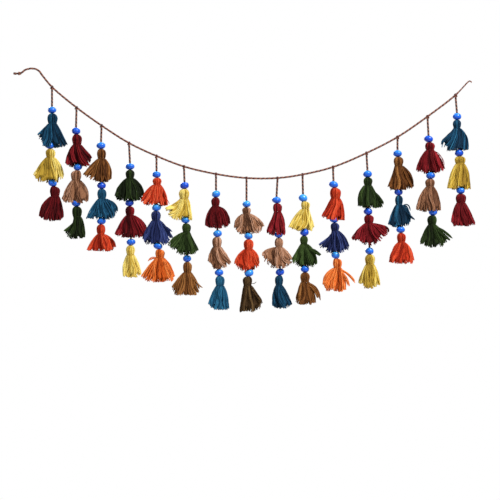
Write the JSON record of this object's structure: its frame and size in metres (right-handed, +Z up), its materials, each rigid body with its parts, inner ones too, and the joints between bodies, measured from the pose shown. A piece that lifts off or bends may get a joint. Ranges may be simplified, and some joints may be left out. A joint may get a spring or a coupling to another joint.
{
  "type": "tassel wall hanging",
  "caption": "Hanging garland of yarn tassels and glazed beads on short strings, knotted in a row along a slack twisted cord.",
  "frame": {"origin": "middle of the main cord where the left-hand nail carries it", "axes": "+X to the right along the garland as seen from its front, +Z up, front faces -Y"},
  "size_m": [0.9234, 0.044, 0.4867],
  "materials": {
    "yarn_teal": "wool yarn, matt",
    "yarn_yellow": "wool yarn, matt",
    "yarn_red": "wool yarn, matt",
    "yarn_tan": "wool yarn, matt",
    "yarn_green": "wool yarn, matt",
    "yarn_ochre": "wool yarn, matt",
    "yarn_scarlet": "wool yarn, matt",
    "yarn_navy": "wool yarn, matt",
    "yarn_orange": "wool yarn, matt",
    "yarn_olive": "wool yarn, matt",
    "bead": "glossy glaze",
    "cord": "twisted yarn, matt"
  },
  "bodies": {
    "root": {"main_cord": "cord", "string_01": "bead", "string_02": "bead", "string_03": "bead", "string_04": "bead", "string_05": "bead", "string_06": "bead", "string_07": "bead", "string_08": "bead", "string_09": "bead", "string_10": "bead", "string_11": "bead", "string_12": "bead", "string_13": "bead", "string_14": "bead", "tassel_01_top": "yarn_teal", "tassel_01_middle": "yarn_yellow", "tassel_01_bottom": "yarn_red", "tassel_02_top": "yarn_red", "tassel_02_middle": "yarn_tan", "tassel_02_bottom": "yarn_green", "tassel_03_top": "yarn_ochre", "tassel_03_middle": "yarn_teal", "tassel_03_bottom": "yarn_scarlet", "tassel_04_top": "yarn_green", "tassel_04_middle": "yarn_red", "tassel_04_bottom": "yarn_yellow", "tassel_05_top": "yarn_scarlet", "tassel_05_middle": "yarn_navy", "tassel_05_bottom": "yarn_orange", "tassel_06_top": "yarn_yellow", "tassel_06_middle": "yarn_green", "tassel_06_bottom": "yarn_ochre", "tassel_07_top": "yarn_red", "tassel_07_middle": "yarn_tan", "tassel_07_bottom": "yarn_teal", "tassel_08_top": "yarn_tan", "tassel_08_middle": "yarn_scarlet", "tassel_08_bottom": "yarn_olive", "tassel_09_top": "yarn_red", "tassel_09_middle": "yarn_tan", "tassel_09_bottom": "yarn_teal", "tassel_10_top": "yarn_yellow", "tassel_10_middle": "yarn_green", "tassel_10_bottom": "yarn_ochre", "tassel_11_top": "yarn_scarlet", "tassel_11_middle": "yarn_navy", "tassel_11_bottom": "yarn_orange", "tassel_12_top": "yarn_green", "tassel_12_middle": "yarn_red", "tassel_12_bottom": "yarn_yellow", "tassel_13_top": "yarn_ochre", "tassel_13_middle": "yarn_teal", "tassel_13_bottom": "yarn_scarlet", "tassel_14_top": "yarn_red", "tassel_14_middle": "yarn_tan", "tassel_14_bottom": "yarn_green", "tassel_15_top": "yarn_teal", "tassel_15_middle": "yarn_yellow", "tassel_15_bottom": "yarn_red"}
  },
  "joints": []
}
